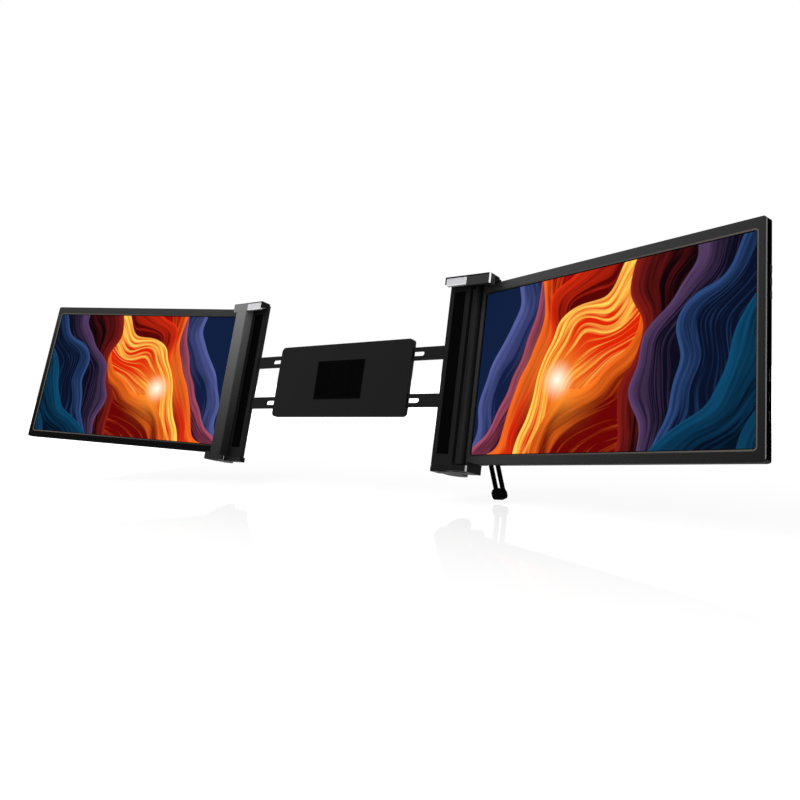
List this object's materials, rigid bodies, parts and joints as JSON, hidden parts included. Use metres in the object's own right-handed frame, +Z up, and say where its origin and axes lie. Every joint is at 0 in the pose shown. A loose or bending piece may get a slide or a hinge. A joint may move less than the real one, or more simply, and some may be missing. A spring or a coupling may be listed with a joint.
{
  "type": "laptop screen extender",
  "caption": "Two side screens hinged on a sliding frame that hooks over a laptop lid, with a folding leg under one screen.",
  "frame": {"origin": "centre of the rubber seat that the back of the laptop lid rests on", "axes": "+X to the viewer's right along the lid's width, +Y to the back, away from the laptop's keyboard, +Z up along the lid"},
  "size_m": [0.9613, 0.1225, 0.219],
  "materials": {
    "casing": "fine matt texture",
    "bezel": "fine satin",
    "cap_metal": "satin painted die casting",
    "post_metal": "satin painted extrusion",
    "barrel": "satin black",
    "dark_plastic": "matt",
    "steel": "machined",
    "silicone": "soft translucent silicone",
    "rubber": "matt",
    "panel": "glossy display surface",
    "board": "solder mask"
  },
  "bodies": {
    "frame": {"frame_housing": "casing", "frame_cover": "casing", "frame_screws": "steel", "lid_seat_pad": "rubber", "arm_brakes": "dark_plastic"},
    "left_clamp": {"left_arm": "casing", "left_post": "post_metal", "left_top_cap": "cap_metal", "left_bottom_cap": "cap_metal", "left_hook_pad": "silicone", "left_foot_pad": "silicone", "left_seat_strip": "rubber", "left_hinge_pin": "steel", "left_hinge_washers": "dark_plastic", "left_clamp_screws": "steel"},
    "left_screen": {"left_rear_cover": "casing", "left_bezel": "bezel", "left_display_panel": "panel", "left_backlight_tray": "steel", "left_driver_board": "board", "left_port_shells": "steel", "left_hinge_barrel": "barrel", "left_cover_screws": "steel", "left_hinge_screws": "steel"},
    "right_clamp": {"right_arm": "casing", "right_top_cap": "cap_metal", "right_bottom_cap": "cap_metal", "right_hook_pad": "silicone", "right_foot_pad": "silicone", "right_seat_strip": "rubber", "right_hinge_pin": "steel", "right_hinge_washers": "dark_plastic", "right_clamp_screws": "steel"},
    "right_screen": {"right_rear_cover": "casing", "right_bezel": "bezel", "right_display_panel": "panel", "right_backlight_tray": "steel", "right_driver_board": "board", "right_port_shells": "steel", "right_hinge_barrel": "barrel", "right_cover_screws": "steel", "right_hinge_screws": "steel", "leg_bracket": "steel", "leg_pin": "steel"},
    "leg": {"leg_rods": "barrel", "leg_foot": "rubber"},
    "left_power_button": {"left_power_button": "dark_plastic"},
    "left_up_button": {"left_up_button": "dark_plastic"},
    "left_down_button": {"left_down_button": "dark_plastic"},
    "right_power_button": {"right_power_button": "dark_plastic"},
    "right_up_button": {"right_up_button": "dark_plastic"},
    "right_down_button": {"right_down_button": "dark_plastic"}
  },
  "joints": [
    {"name": "left_clamp_slide", "type": "slide", "parent": "frame", "child": "left_clamp", "axis": [-1, 0, 0], "range_m": [-0.017, 0.015]},
    {"name": "right_clamp_slide", "type": "slide", "parent": "frame", "child": "right_clamp", "axis": [1, 0, 0], "range_m": [-0.017, 0.015]},
    {"name": "left_screen_hinge", "type": "hinge", "parent": "left_clamp", "child": "left_screen", "pos_m": [-0.18, 0.012, 0], "axis": [0, 0, 1], "range_deg": [-197, 11]},
    {"name": "right_screen_hinge", "type": "hinge", "parent": "right_clamp", "child": "right_screen", "pos_m": [0.156, 0.0256, 0], "axis": [0, 0, -1], "range_deg": [-194, 14]},
    {"name": "leg_hinge", "type": "hinge", "parent": "right_screen", "child": "leg", "pos_m": [0.20132, 0.01724, -0.0786], "axis": [0.9703, -0.2419, 0], "range_deg": [-24, 156]},
    {"name": "left_power_press", "type": "slide", "parent": "left_screen", "child": "left_power_button", "axis": [0.9563, 0.2924, 0], "range_m": [0, 0.0008], "stiffness_N_per_m": 700},
    {"name": "left_up_press", "type": "slide", "parent": "left_screen", "child": "left_up_button", "axis": [0.9563, 0.2924, 0], "range_m": [0, 0.0008], "stiffness_N_per_m": 700},
    {"name": "left_down_press", "type": "slide", "parent": "left_screen", "child": "left_down_button", "axis": [0.9563, 0.2924, 0], "range_m": [0, 0.0008], "stiffness_N_per_m": 700},
    {"name": "right_power_press", "type": "slide", "parent": "right_screen", "child": "right_power_button", "axis": [-0.9703, 0.2419, 0], "range_m": [0, 0.0008], "stiffness_N_per_m": 700},
    {"name": "right_up_press", "type": "slide", "parent": "right_screen", "child": "right_up_button", "axis": [-0.9703, 0.2419, 0], "range_m": [0, 0.0008], "stiffness_N_per_m": 700},
    {"name": "right_down_press", "type": "slide", "parent": "right_screen", "child": "right_down_button", "axis": [-0.9703, 0.2419, 0], "range_m": [0, 0.0008], "stiffness_N_per_m": 700}
  ]
}
